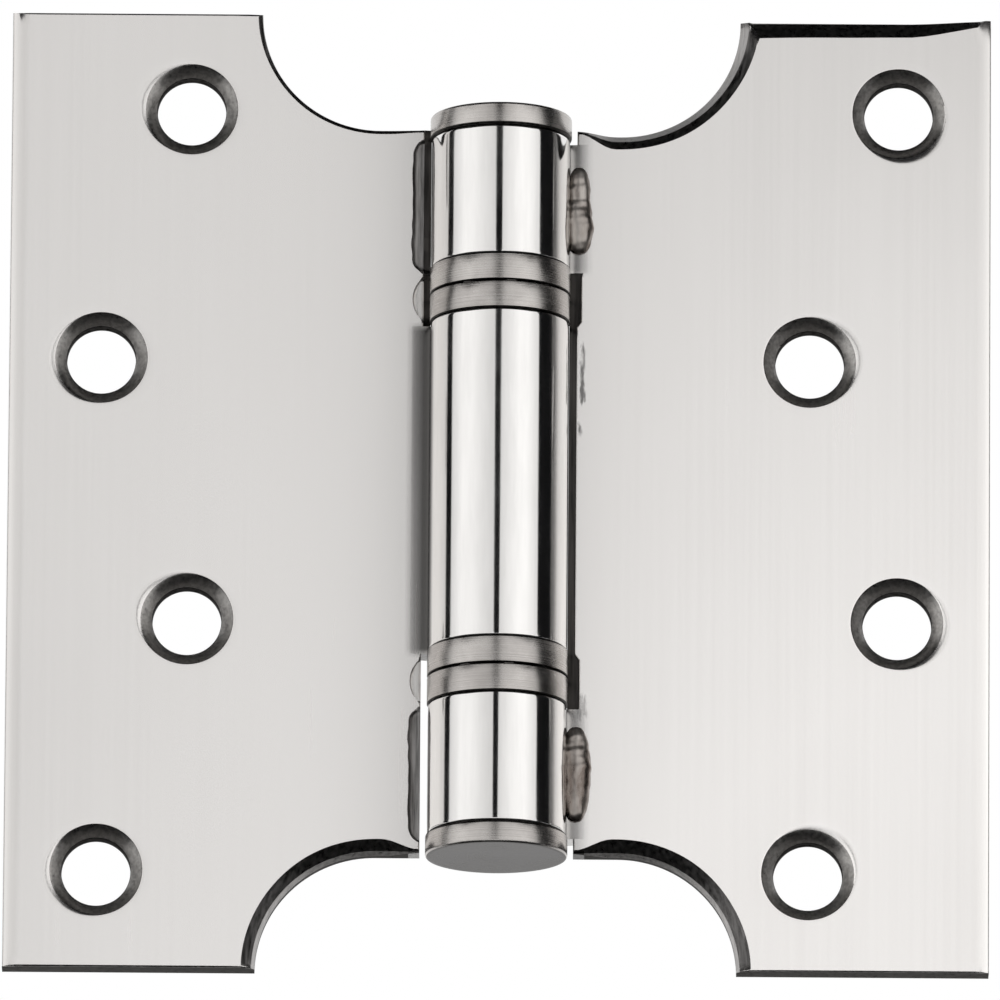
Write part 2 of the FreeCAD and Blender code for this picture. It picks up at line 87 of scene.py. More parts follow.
def onlyKind(items, kind):
    return [item for item in items if isinstance(item, kind)]


def placeObject(name, data):
    placed = bpy.data.objects.new(name, data)
    bpy.context.scene.collection.objects.link(placed)
    return placed


# Turns a bmesh into a shaded object on its body; edges over the sharp angle, in degrees, stay crisp
def finishPiece(bm, name, body, nodes, finishes, sharp=40, flats=()):
    bmesh.ops.recalc_face_normals(bm, faces=bm.faces)
    for face in bm.faces:
        face.smooth = True
    mesh = bpy.data.meshes.new(name)
    bm.to_mesh(mesh)
    bm.free()
    mesh.set_sharp_from_angle(angle=math.radians(sharp))
    for finish in finishes:
        mesh.materials.append(finish)
    piece = placeObject(name, mesh)
    if flats:
        flattenNormals(mesh, flats)
    else:
        weighted = piece.modifiers.new("flatFaces", "WEIGHTED_NORMAL")
        weighted.keep_sharp = True
    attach(piece, body)
    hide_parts(*nodes)
    print("piece:", name, len(mesh.polygons), "faces")


# Gives every corner of the flat faces at these levels that face's own direction
def flattenNormals(mesh, flats):
    normals = [corner.vector.copy() for corner in mesh.corner_normals]
    for polygon in mesh.polygons:
        for level, facing in flats:
            if all(abs(mesh.vertices[spot].co.y - level) < tiny for spot in polygon.vertices):
                for index in polygon.loop_indices:
                    normals[index] = facing
    mesh.normals_split_custom_set(normals)


# Node helpers for the finishes
def newFinish(name, edgeTint=1.0):
    finish = bpy.data.materials.new(name)
    finish.use_nodes = True
    tree = finish.node_tree
    shader = tree.nodes["Principled BSDF"]
    shader.inputs["Metallic"].default_value = 1.0
    shader.inputs["Specular Tint"].default_value = (edgeTint, edgeTint, edgeTint, 1.0)
    return finish, tree, shader


def addNode(tree, kind, **values):
    node = tree.nodes.new(kind)
    for key, value in values.items():
        if key in node.inputs:
            node.inputs[key].default_value = value
        else:
            setattr(node, key, value)
    return node


# A math node: each source is a socket or a plain number
def addMath(tree, operation, *sources):
    node = addNode(tree, "ShaderNodeMath", operation=operation)
    for socket, source in zip(node.inputs, sources):
        if isinstance(source, (int, float)):
            socket.default_value = source
        else:
            tree.links.new(source, socket)
    return node.outputs[0]


# The place that is being shaded, whole and as x, y and z
def shadedPlace(tree):
    return addNode(tree, "ShaderNodeTexCoord").outputs["Object"]


def placeAxes(tree):
    split = addNode(tree, "ShaderNodeSeparateXYZ")
    tree.links.new(shadedPlace(tree), split.inputs[0])
    return split.outputs["X"], split.outputs["Y"], split.outputs["Z"]


def stretchedNoise(tree, scale, detail=3.0, roughness=0.55):
    mapping = addNode(tree, "ShaderNodeMapping", Scale=scale)
    texture = addNode(tree, "ShaderNodeTexNoise", Scale=1.0, Detail=detail, Roughness=roughness)
    tree.links.new(shadedPlace(tree), mapping.inputs["Vector"])
    tree.links.new(mapping.outputs["Vector"], texture.inputs["Vector"])
    return texture.outputs["Fac"]


def rangeOf(tree, source, low, high, fromLow=0.3, fromHigh=0.7):
    limits = {"From Min": fromLow, "From Max": fromHigh, "To Min": low, "To Max": high}
    node = addNode(tree, "ShaderNodeMapRange", **limits)
    tree.links.new(source, node.inputs["Value"])
    return node.outputs["Result"]


def mixColours(tree, factor, first, second):
    node = addNode(tree, "ShaderNodeMix", data_type="RGBA")
    tree.links.new(factor, node.inputs["Factor"])
    for socket, colour in (("A", first), ("B", second)):
        target = [entry for entry in node.inputs if entry.name == socket and entry.type == "RGBA"][0]
        if isinstance(colour, tuple):
            target.default_value = (*colour, 1.0)
        else:
            tree.links.new(colour, target)
    return [entry for entry in node.outputs if entry.type == "RGBA"][0]


def addBump(tree, shader, height, strength, distance, below=None):
    bump = addNode(tree, "ShaderNodeBump", Strength=strength, Distance=distance)
    tree.links.new(height, bump.inputs["Height"])
    if below:
        tree.links.new(below, bump.inputs["Normal"])
    tree.links.new(bump.outputs["Normal"], shader.inputs["Normal"])
    return bump.outputs["Normal"]


# Colour and roughness that follow one pattern
def paintPattern(tree, shader, pattern, dark, light, roughness, spread=()):
    colour = mixColours(tree, rangeOf(tree, pattern, 0, 1, *spread), dark, light)
    tree.links.new(colour, shader.inputs["Base Color"])
    tree.links.new(rangeOf(tree, pattern, *roughness), shader.inputs["Roughness"])


# Satin-polished sheet with fine streaks that run up and down the leaf. In all finishes the scales of a
# pattern are per metre, and a bump is a strength and a depth
satin = {
    "light": (0.80, 0.782, 0.768),
    "dark": (0.755, 0.736, 0.722),
    "spread": (0.36, 0.64),  # of the pattern, from dark to light
    "streak": (1500, 1500, 14),
    "cloud": (45, 45, 30),
    "roughness": (0.22, 0.28),
    "bump": (0.03, 0.01 * mm),
    "tone": (1.055, 1.8, -2.1, -40),  # painted light, brighter to the lower right: base, along x, along z, along both
    "toneLimit": 1.2,
    "shade": 0.16,  # what is left of the colour in the barrel's painted shadow
    "bend": (7.9 * mm, 9.7 * mm),  # where that shadow fades out, from the pin axis
    "shadeSoft": 0.5 * mm,  # its fade at a knuckle's end
    "endShade": 0.45,  # its strength beside the end knuckles
    "marks": (  # painted shade marks beside the slit: x, z, half width, half height, shade
        (8.62, 12.3, 0.3, 3.2, 0.25),
        (8.35, 6.7, 0.22, 0.9, 0.3),
        (8.75, -22.8, 0.55, 1.3, 0.62),
    ),
    "markDepth": 1.0 * mm,  # so that they stay off the back
    "markGrain": (2600, 2600, 700),
    "markRagged": 0.6,  # how far the grain breaks up an edge
    "markEdge": (0.5, 1.2),  # from full shade to none, in shares of the half sizes
}


def satinFinish():
    finish, tree, shader = newFinish("satinSheet")
    streak = stretchedNoise(tree, satin["streak"], detail=4.0)
    cloud = stretchedNoise(tree, satin["cloud"], detail=2.0)
    mixed = addMath(tree, "MULTIPLY", addMath(tree, "ADD", streak, cloud), 0.5)
    colour = mixColours(tree, rangeOf(tree, mixed, 0, 1, *satin["spread"]), satin["dark"], satin["light"])
    # Painted light and shade: the barrel's painted shadow, a painted light slope and painted shade marks
    darkness = paintedLightSlope(tree, paintedBarrelShadow(tree))
    for mark in satin["marks"]:
        darkness = paintedShadeMark(tree, darkness, *mark)
    shade = addNode(tree, "ShaderNodeVectorMath", operation="SCALE")
    tree.links.new(colour, shade.inputs[0])
    tree.links.new(darkness, shade.inputs["Scale"])
    tree.links.new(shade.outputs[0], shader.inputs["Base Color"])
    tree.links.new(rangeOf(tree, mixed, *satin["roughness"]), shader.inputs["Roughness"])
    addBump(tree, shader, streak, *satin["bump"])
    return finish


# Painted shadow where the sheet bends in behind the barrel, beside each leaf's own knuckles
def paintedBarrelShadow(tree):
    x, _, z = placeAxes(tree)
    along = addMath(tree, "ABSOLUTE", z)
    soft, middleEnd, endStart = satin["shadeSoft"], barrel["middleEnd"], barrel["endStart"]
    shaded = rangeOf(tree, addMath(tree, "ABSOLUTE", x), 1.0 - satin["shade"], 0.0, *satin["bend"])
    middle = rangeOf(tree, along, 1, 0, middleEnd - soft, middleEnd + soft)
    ends = rangeOf(tree, along, 0, satin["endShade"], endStart - soft, endStart + soft)
    zone = addNode(tree, "ShaderNodeMix")
    tree.links.new(addMath(tree, "GREATER_THAN", x, 0.0), zone.inputs["Factor"])
    tree.links.new(middle, zone.inputs["A"])
    tree.links.new(ends, zone.inputs["B"])
    return addMath(tree, "SUBTRACT", 1.0, addMath(tree, "MULTIPLY", shaded, zone.outputs["Result"]))


# Painted light: the colour grows slowly brighter to the lower right
def paintedLightSlope(tree, darkness):
    x, _, z = placeAxes(tree)
    base, alongX, alongZ, alongBoth = satin["tone"]
    tone = base
    for source, slope in ((x, alongX), (z, alongZ), (addMath(tree, "MULTIPLY", x, z), alongBoth)):
        tone = addMath(tree, "MULTIPLY_ADD", source, slope, tone)
    limited = addMath(tree, "MINIMUM", tone, satin["toneLimit"])
    return addMath(tree, "MULTIPLY", limited, darkness)


# One painted shade mark beside the slit, with a ragged edge
def paintedShadeMark(tree, darkness, x, z, halfWide, halfHigh, shade):
    middle, half = (x * mm, sheetFront, z * mm), (halfWide * mm, satin["markDepth"], halfHigh * mm)
    mapping = addNode(tree, "ShaderNodeMapping", vector_type="TEXTURE", Location=middle, Scale=half)
    away = addNode(tree, "ShaderNodeVectorMath", operation="LENGTH")
    tree.links.new(shadedPlace(tree), mapping.inputs["Vector"])
    tree.links.new(mapping.outputs["Vector"], away.inputs[0])
    grain = stretchedNoise(tree, satin["markGrain"])
    rough = rangeOf(tree, grain, -satin["markRagged"], satin["markRagged"])
    ragged = addMath(tree, "ADD", away.outputs["Value"], rough)
    return addMath(tree, "MULTIPLY", rangeOf(tree, ragged, shade, 1, *satin["markEdge"]), darkness)


# Mirror polish of the rolled knuckles, a little wavy from the buffing wheel
mirror = {
    "light": (0.86, 0.85, 0.84),
    "dark": (0.79, 0.78, 0.77),
    "scratch": (900, 900, 120),
    "scratchBump": (0.03, 0.01 * mm),
    "wave": (150, 150, 60),
    "waveBump": (0.25, 0.05 * mm),
    "roughness": (0.06, 0.12),
}


def mirrorFinish():
    finish, tree, shader = newFinish("mirrorKnuckle")
    scratch = stretchedNoise(tree, mirror["scratch"], detail=5.0, roughness=0.65)
    wave = stretchedNoise(tree, mirror["wave"], detail=1.0)
    paintPattern(tree, shader, scratch, mirror["dark"], mirror["light"], mirror["roughness"])
    wavy = addBump(tree, shader, wave, *mirror["waveBump"])
    addBump(tree, shader, scratch, *mirror["scratchBump"], below=wavy)
    return finish


# Lathe-turned rings and caps: fine lines round the pin, and round the middle of a flat end
turned = {
    "light": (0.60, 0.575, 0.555),
    "dark": (0.40, 0.38, 0.365),
    "pitch": 9000,
    "smear": (260, 260, 260),
    "shares": (0.6, 0.4),  # of the lines and of the smear
    "roughness": (0.2, 0.3),
    "bump": (0.25, 0.02 * mm),
}


def turnedLines(tree):
    flat = addNode(tree, "ShaderNodeVectorMath", operation="MULTIPLY")
    flat.inputs[1].default_value = (1, 1, 0)
    radius = addNode(tree, "ShaderNodeVectorMath", operation="LENGTH")
    tree.links.new(shadedPlace(tree), flat.inputs[0])
    tree.links.new(flat.outputs["Vector"], radius.inputs[0])
    along = addMath(tree, "ADD", radius.outputs["Value"], placeAxes(tree)[2])
    texture = addNode(tree, "ShaderNodeTexNoise", noise_dimensions="1D", Scale=turned["pitch"], Detail=3.0)
    tree.links.new(along, texture.inputs["W"])
    return texture.outputs["Fac"]


def turnedFinish(name="turnedRing", light=turned["light"], dark=turned["dark"], edgeTint=1.0):
    finish, tree, shader = newFinish(name, edgeTint)
    lines = turnedLines(tree)
    smear = stretchedNoise(tree, turned["smear"], detail=4.0)
    lineShare, smearShare = turned["shares"]
    both = addMath(tree, "MULTIPLY_ADD", lines, lineShare, rangeOf(tree, smear, 0.0, smearShare))
    paintPattern(tree, shader, both, dark, light, turned["roughness"])
    addBump(tree, shader, lines, *turned["bump"])
    return finish


# Countersinks: cutter marks that follow the depth of the hole
bored = {
    "light": (0.50, 0.485, 0.47),
    "dark": (0.09, 0.086, 0.083),
    "pitch": 5.0,  # of the rings, per millimetre
    "smear": (2400, 2400, 2400),
    "shares": (0.75, 0.25),  # of the rings and of the smear
    "roughness": (0.2, 0.36),
    "bump": (0.35, 0.03 * mm),
}


def boredFinish():
    finish, tree, shader = newFinish("cutHole")
    coords = addNode(tree, "ShaderNodeUVMap", uv_map="turning")
    split = addNode(tree, "ShaderNodeSeparateXYZ")
    rings = addNode(tree, "ShaderNodeTexNoise", noise_dimensions="1D", Scale=bored["pitch"], Detail=4.0)
    smear = stretchedNoise(tree, bored["smear"], detail=4.0, roughness=0.65)
    tree.links.new(coords.outputs["UV"], split.inputs[0])
    tree.links.new(split.outputs["Y"], rings.inputs["W"])
    ringShare, smearShare = bored["shares"]
    smeared = rangeOf(tree, smear, 0.0, smearShare)
    marks = addMath(tree, "MULTIPLY_ADD", rings.outputs["Fac"], ringShare, smeared)
    paintPattern(tree, shader, marks, bored["dark"], bored["light"], bored["roughness"])
    addBump(tree, shader, marks, *bored["bump"])
    return finish


# Weld beads: grey-brown from the heat, and dark at the toe
heat = {
    "grey": (0.52, 0.485, 0.455),
    "brown": (0.20, 0.168, 0.15),
    "spread": (0.35, 0.65),
    "toe": (0.05, 0.033, 0.026),
    "toeRise": 0.5 * mm,  # height over which the toe lightens
    "streak": (700, 700, 210),
    "streakBump": (0.5, 0.12 * mm),
    "grit": (2500, 2500, 2500),
    "gritBump": (0.12, 0.03 * mm),
    "roughness": (0.24, 0.4),
}


def weldFinish():
    finish, tree, shader = newFinish("weldBead")
    tint = stretchedNoise(tree, heat["streak"], detail=4.0)
    grit = stretchedNoise(tree, heat["grit"], detail=3.0)
    colour = mixColours(tree, rangeOf(tree, tint, 0, 1, *heat["spread"]), heat["brown"], heat["grey"])
    rise = rangeOf(tree, placeAxes(tree)[1], 0, 1, sheetFront, sheetFront - heat["toeRise"])
    colour = mixColours(tree, rise, heat["toe"], colour)
    tree.links.new(colour, shader.inputs["Base Color"])
    tree.links.new(rangeOf(tree, tint, *heat["roughness"]), shader.inputs["Roughness"])
    folds = addBump(tree, shader, tint, *heat["streakBump"])
    addBump(tree, shader, grit, *heat["gritBump"], below=folds)
    return finish


# Milled and sheared edges, left as the cutter made them
milled = {
    "light": (0.36, 0.35, 0.345),
    "dark": (0.10, 0.097, 0.095),
    "marks": (2200, 2200, 130),
    "spread": (0.35, 0.65),
    "roughness": (0.25, 0.42),
    "bump": (0.2, 0.03 * mm),
}
wallTint = 0.35  # what a dark wall, or the end of a cap, keeps of its shine at a grazing view
capTint = 0.62


def milledFinish(name="milledEdge", light=milled["light"], dark=milled["dark"], edgeTint=1.0):
    finish, tree, shader = newFinish(name, edgeTint)
    marks = stretchedNoise(tree, milled["marks"], detail=4.0)
    paintPattern(tree, shader, marks, dark, light, milled["roughness"], milled["spread"])
    addBump(tree, shader, marks, *milled["bump"])
    return finish


finishes = {
    "satin": satinFinish(),
    "mirror": mirrorFinish(),
    "turned": turnedFinish(),
    "bored": boredFinish(),
    "weld": weldFinish(),
    "milled": milledFinish(),
    "capEnd": turnedFinish("cutEnd", light=(0.20, 0.193, 0.19), dark=(0.16, 0.155, 0.152),
                           edgeTint=capTint),
    # Painted shade for the joints between pieces and for the walls of the slit beside the barrel
    "groove": milledFinish("jointGroove", light=(0.07, 0.066, 0.063), dark=(0.025, 0.024, 0.023)),
    "bore": milledFinish("boreWall", light=(0.07, 0.068, 0.066), dark=(0.03, 0.029, 0.028),
                         edgeTint=wallTint),
    "sheared": milledFinish("shearedWall", light=(0.15, 0.145, 0.14), dark=(0.05, 0.048, 0.046),
                            edgeTint=wallTint),
    # Painted shade: the inner facet of a ground edge is a darker copy of the ground facet's finish
    "bevel": milledFinish("groundBevel", light=(0.28, 0.27, 0.265), dark=(0.13, 0.125, 0.122)),
    "facet": milledFinish("groundFacet", light=(0.50, 0.485, 0.475), dark=(0.30, 0.29, 0.284)),
    "scraped": milledFinish("scrapedScoop", light=(0.80, 0.785, 0.77), dark=(0.62, 0.605, 0.59)),
    "ground": turnedFinish("groundPin"),
}
print("finishes:", ", ".join(finish.name for finish in finishes.values()))

# The finishes of a leaf, in the order of its material places
leafFinishes = ("satin", "mirror", "bored", "milled", "scraped", "groove", "bore", "sheared", "facet",
                "bevel")
leafPlace = {key: index for index, key in enumerate(leafFinishes)}


# The sheet that both leaves are cut and rolled from
sheet = {
    "neckEdge": 7.95 * mm,  # pin axis to the free edge beside the barrel
    "armReach": 24.9 * mm,  # pin axis to the corner of the scallop
    "scallop": 12.35 * mm,
    "jogBend": 8.5 * mm,  # bend from the leaf into the knuckle
    "bore": 4.2 * mm,
    "seamGap": 0.25 * mm,
    "backBreak": 0.15 * mm,  # broken edge all round the back
    "notch": 0.45 * mm,  # depth of the right leaf's notches beside the bearings
    "notchCorner": 0.6 * mm,
    "notchFlare": 0.15 * mm,  # more, where a notch begins at the knuckle
    "nose": 7.22 * mm,  # pin axis to the nose of an edge that comes close to the barrel
    "noseRoom": 0.7 * mm,  # how far behind the free edge a point still has that nose
    "ledge": 0.35 * mm,  # least depth of that nose under the front
    "wallStart": 0.05 * mm,  # least step from a worn edge down to the wall
    "walk": 1.4 * mm,  # spacing of points along straight edges,
    "neckWalk": 0.6 * mm,  # along the neck
    "slitWalk": 0.35 * mm,  # and up to a knuckle or a corner beside the barrel
    "arcSteps": 36,
    "levels": 9,  # rings over a rolled edge
    "jogSteps": 12,
    "rollSteps": 120,
    "rollEnd": math.radians(371),
}
sheet["jogDepth"] = barrel["back"] + sheet["jogBend"]
sheet["jogX"] = math.sqrt((barrel["knuckleRadius"] + sheet["jogBend"]) ** 2 - sheet["jogDepth"] ** 2)

# How far each front edge is rolled over or ground off: inwards and down, in millimetres, and the share of
# the width that is the inner of a ground edge's two facets
rightEdges = {
    "outer": (1.8, 0.3),
    "upper": (2.2, 2.35, 0.95),
    "upperScallop": (2.0, 2.55, 0.55),
    "lowerScallop": (1.5, 1.95, 0.78),
    "lower": (0.2, 0.2),
    "slit": (0.18, 0.18),
}
leftEdges = {  # the left leaf is turned half round, so its upper edge lies below
    "outer": (1.8, 0.5),
    "upper": (0.25, 0.25),
    "upperScallop": (1.4, 1.85, 0.75),
    "lowerScallop": (0.5, 0.6, 0.9),
    "lower": (0.25, 0.25),
    "slit": (0.18, 0.18),
}
facetSlope = math.tan(math.radians(45.5))
facetStops = (0.0, 0.05, 0.5, 0.95, 1.0)
facetFall = 0.95  # most of the depth that the inner facet takes
cornerTurn = 0.3  # sine of the turn from which an outline point is a corner


def outlinePoint(x, z, edge, kind="roll"):
    return {"at": Vector((x, z)), "wide": edge[0] * mm, "deep": edge[1] * mm, "kind": kind, "lean": 0.0,
            "facet": edge[2] if len(edge) > 2 else 0.0,
            "back": 0.0 if kind == "tongue" else sheet["backBreak"]}


def walkTo(walk, x, z, edge, step=None):
    start = walk[-1]["at"].copy()
    end = Vector((x, z))
    count = max(1, round((end - start).length / (step or sheet["walk"])))
    for index in range(1, count + 1):
        spot = start.lerp(end, index / count)
        walk.append(outlinePoint(spot.x, spot.y, edge))


def walkArc(walk, centre, radius, start, end, edge, steps):
    for index in range(1, steps + 1):
        angle = math.radians(start + (end - start) * index / steps)
        walk.append(outlinePoint(centre[0] + radius * math.cos(angle),
                                 centre[1] + radius * math.sin(angle), edge))


# Knuckle columns: close together at both ends, where the edge is rounded
knuckleEnds = (0.03, 0.08, 0.15, 0.22, 0.3, 0.5, 0.9, 1.5, 2.2)


def walkTongue(walk, high, low):
    x = sheet["jogX"]
    stops = [high - gap * mm for gap in (0.0, *knuckleEnds)]
    stops += [(high + low) / 2]
    stops += [low + gap * mm for gap in reversed((0.0, *knuckleEnds))]
    for z in stops:
        walk.append(outlinePoint(x, z, (0, 0), "tongue"))


def walkNeck(walk, tongues, edges, notches):
    slit, inner, corner = edges["slit"], sheet["neckEdge"], sheet["notchCorner"]
    notched, middleEnd = inner + sheet["notch"], barrel["middleEnd"]
    for index, (high, low) in enumerate(tongues):
        startX = notched if notches and index else inner
        walkTo(walk, startX, high, slit, step=sheet["slitWalk"])
        walkTongue(walk, high, low)
        if notches and index == 0:
            walkTo(walk, notched + sheet["notchFlare"], low, slit)
            walkTo(walk, notched, low - corner, slit, step=corner / 2)
            walkTo(walk, notched, middleEnd + corner, slit)
            walkTo(walk, inner, middleEnd, slit, step=corner / 2)
            walkTo(walk, inner, -middleEnd, slit)
            walkTo(walk, notched, -middleEnd - corner, slit, step=corner / 2)
            walkTo(walk, notched, -barrel["endStart"] + corner, slit)
        else:
            walkTo(walk, inner, low, slit)


def leafOutline(edges, tongues, notches):
    reach, top, arm = barrel["reach"], barrel["top"], sheet["armReach"]
    neck, scallop = top - sheet["scallop"], sheet["scallop"]
    walk = [outlinePoint(reach, -top, edges["lower"])]
    walkTo(walk, reach, top, edges["outer"])
    walkTo(walk, arm, top, edges["upper"])
    walkArc(walk, (arm - scallop, top), scallop, 0, -90, edges["upperScallop"], sheet["arcSteps"])
    walkTo(walk, sheet["neckEdge"], neck, edges["upperScallop"], step=sheet["neckWalk"])
    walkNeck(walk, tongues, edges, notches)
    walkTo(walk, sheet["neckEdge"], -neck, edges["slit"], step=sheet["slitWalk"])
    walkTo(walk, arm - scallop, -neck, edges["lowerScallop"], step=sheet["neckWalk"])
    walkArc(walk, (arm - scallop, -top), scallop, 90, 0, edges["lowerScallop"], sheet["arcSteps"])
    walkTo(walk, reach, -top, edges["lower"])
    walk.pop()
    return walk


# Uneven wear: a slow wobble along the wide edges, a taper to the outer corner and one along the neck
wear = {
    "least": 0.3 * mm,  # narrower edges are left alone, and the neck tapers to this
    "wobble": 0.12,
    "length": 9 * mm,  # of the wobble, and of the taper to the corner
    "slice": 0.37,  # of the noise
    "cornerWide": 0.4,  # shares that are left at the corner
    "cornerDeep": 0.5,
    "neck": 4 * mm,  # length of the taper along the neck
}


def wearOutline(walk, taper):
    length, wide, deep = wear["length"], wear["cornerWide"], wear["cornerDeep"]
    for point in walk:
        spot = point["at"]
        if point["kind"] == "roll" and point["wide"] > wear["least"]:
            wobble = noise.noise(Vector((spot.x / length, spot.y / length, wear["slice"])))
            point["wide"] *= 1 + wear["wobble"] * wobble
            if taper and spot.y > barrel["top"] - tiny:
                near = smoothStep((barrel["reach"] - spot.x) / length)
                point["wide"] *= wide + (1 - wide) * near
                point["deep"] *= deep + (1 - deep) * near
            if spot.x < sheet["armReach"] - sheet["scallop"] + tiny:
                share = wear["least"] / point["wide"]
                share += (1 - share) * smoothStep((spot.x - sheet["neckEdge"]) / wear["neck"])
                point["wide"] *= share
                point["deep"] *= share


# Beside the other leaf's knuckles the edge has a nose under the face that closes the slit to the eye
def noseEdge(walk, low, high):
    neck = barrel["top"] - sheet["scallop"]
    for point in walk:
        x, z = point["at"]
        room = sheet["noseRoom"] if abs(z) < neck - tiny else tiny
        inZone = low - tiny < z < high + tiny
        if point["kind"] != "tongue" and inZone and x < sheet["neckEdge"] + room:
            point["lean"] = x - sheet["nose"]


# Weld reliefs and bearing scoops in the edge of the left leaf, beside the other leaf's knuckles
relief = {
    "wide": 1.25 * mm,
    "deep": 0.5 * mm,
    "deepen": 1.6,  # how much sooner the depth is full than the width
    "overrun": 0.4 * mm,  # past the end of the knuckle
    "round": 1.6 * mm,  # at both ends
    "ragged": 0.14,  # unevenness of the width
    "raggedLength": 1.3 * mm,
    "slice": (0.7, 0.2),  # of the noise
}
scoop = {"radius": 3.1 * mm, "reach": 1.15 * mm, "deep": 0.5 * mm, "deepen": 4}
hollowSections = {  # shares of the width that are left and of the depth, ring by ring
    "scoop": ((1, 0), (0.99, 0.4), (0.97, 0.75), (0.94, 0.93), (0.88, 1), (0.6, 1), (0.3, 1), (0.06, 1),
              (0, 1.06)),
    "relief": ((1, 0), (0.93, 0.22), (0.82, 0.52), (0.68, 0.78), (0.5, 0.94), (0.3, 1), (0.12, 1),
               (0.04, 1), (0, 1.1)),
}


def hollowEdge(walk):
    middle = (barrel["middleEnd"] + barrel["endStart"]) / 2
    low, high = barrel["endStart"], barrel["capSeat"] + relief["overrun"]
    offset = scoop["radius"] - scoop["reach"]
    for point in walk:
        x, z = point["at"].x, abs(point["at"].y)
        if point["kind"] != "roll" or abs(x - sheet["neckEdge"]) > tiny:
            continue
        reach = math.sqrt(max(0.0, scoop["radius"] ** 2 - (z - middle) ** 2)) - offset
        room = min(z - low, high - z)
        if reach > point["wide"]:
            share = min(1.0, scoop["deepen"] * reach / scoop["reach"])
            point.update(kind="scoop", wide=reach, deep=scoop["deep"] * share)
        elif room > 0:
            full = math.sqrt(1 - (1 - min(1.0, room / relief["round"])) ** 2)
            wave = noise.noise(Vector((z / relief["raggedLength"], *relief["slice"])))
            wide = relief["wide"] * full * (1 + relief["ragged"] * wave)
            deep = relief["deep"] * min(1.0, full * relief["deepen"])
            point.update(kind="relief", wide=max(point["wide"], wide), deep=max(point["deep"], deep))


# A ground edge has two facets, with rings close together at both ends of each
def groundSection(point, level):
    wide, deep = point["wide"], point["deep"]
    inner = point["facet"] * wide
    fall = min(inner * facetSlope, facetFall * deep)
    half = len(facetStops) - 1
    if level <= half:
        stop = facetStops[level]
        return wide - inner * stop, fall * stop
    stop = facetStops[level - half]
    return (wide - inner) * (1 - stop), fall + (deep - fall) * stop


# How far inwards and down an edge is, at one of its rings
def edgeSection(point, level):
    wide, deep = point["wide"], point["deep"]
    if point["kind"] == "tongue":
        return 0.0, 0.0
    if point["kind"] in hollowSections:
        inwards, down = hollowSections[point["kind"]][level]
        return wide * inwards, deep * down
    if point["facet"]:
        return groundSection(point, level)
    angle = level / (sheet["levels"] - 1) * math.pi / 2
    return wide * (1 - math.sin(angle)), deep * (1 - math.cos(angle))


# Inward normals of the two edges that meet at an outline point
def edgeNormals(walk, index):
    before, here = walk[index - 1]["at"], walk[index]["at"]
    after = walk[(index + 1) % len(walk)]["at"]
    first, second = (here - before).normalized(), (after - here).normalized()
    return Vector((-first.y, first.x)), Vector((-second.y, second.x))


# Moves an outline point inwards, by its own distance from each of its two edges
def insetSpot(walk, index, distances):
    first, second = edgeNormals(walk, index)
    turn = first.cross(second)
    if abs(turn) < cornerTurn:
        both = first + second
        return walk[index]["at"] + both * (sum(distances) / 2 / both.dot(first)), turn
    near, far = distances
    shift = Vector((near * second.y - far * first.y, far * first.x - near * second.x)) / turn
    return walk[index]["at"] + shift, turn


def ringPlaces(walk, level):
    sections = [edgeSection(point, level) for point in walk]
    places, corners = [], []
    for index, point in enumerate(walk):
        own = sections[index]
        sides = sections[index - 1], sections[(index + 1) % len(walk)]
        spot, turn = insetSpot(walk, index, (own[0], own[0]))
        down = own[1]
        if abs(turn) >= cornerTurn and point["kind"] != "tongue":
            spot, turn = insetSpot(walk, index, (sides[0][0], sides[1][0]))
            down = (sides[0][1] + sides[1][1]) / 2
            if turn > 0:
                corners.append((index, sides[0][0], sides[1][0]))
        places.append(Vector((spot.x, sheetFront + down, spot.y)))
    for index, before, after in corners:
        mitreCorner(walk, places, index, after, -1)
        mitreCorner(walk, places, index, before, 1)
    return places


# Gathers the points that a neighbouring edge's roll has overrun into the corner
def mitreCorner(walk, places, index, reach, way):
    step = way
    spot = walk[index]["at"]
    while (walk[(index + step) % len(walk)]["at"] - spot).length < reach:
        places[(index + step) % len(walk)] = places[index].copy()
        step += way


def growRing(bm, ring, places):
    edges = [bm.edges.get(pair) for pair in zip(ring, ring[1:] + ring[:1])]
    grown = bmesh.ops.extrude_edge_only(bm, edges=edges)["geom"]
    fresh = set(onlyKind(grown, bmesh.types.BMVert))
    following = []
    for vert, place in zip(ring, places):
        twin = next(edge.other_vert(vert) for edge in vert.link_edges if edge.other_vert(vert) in fresh)
        twin.co = place
        following.append(twin)
    return following


def raiseShell(bm, walk):
    ring = [bm.verts.new(place) for place in ringPlaces(walk, 0)]
    for pair in zip(ring, ring[1:] + ring[:1]):
        bm.edges.new(pair)
    for level in range(1, sheet["levels"]):
        ring = growRing(bm, ring, ringPlaces(walk, level))
    depths = [edgeSection(point, sheet["levels"] - 1)[1] for point in walk]
    ledge, wall, rim = [], [], []
    for index, point in enumerate(walk):
        x, z = point["at"]
        deepest = max(depths[index - 1], depths[index], depths[(index + 1) % len(walk)])
        under = sheetFront + max(deepest + sheet["wallStart"], sheet["ledge"])
        spot, _ = insetSpot(walk, index, (point["back"], point["back"]))
        ledge.append(Vector((x - point["lean"], under, z)))
        wall.append(Vector((x, barrel["back"] - point["back"], z)))
        rim.append(Vector((spot.x, barrel["back"], spot.y)))
    ring = growRing(bm, ring, ledge)
    ring = growRing(bm, ring, wall)
    growRing(bm, ring, rim)


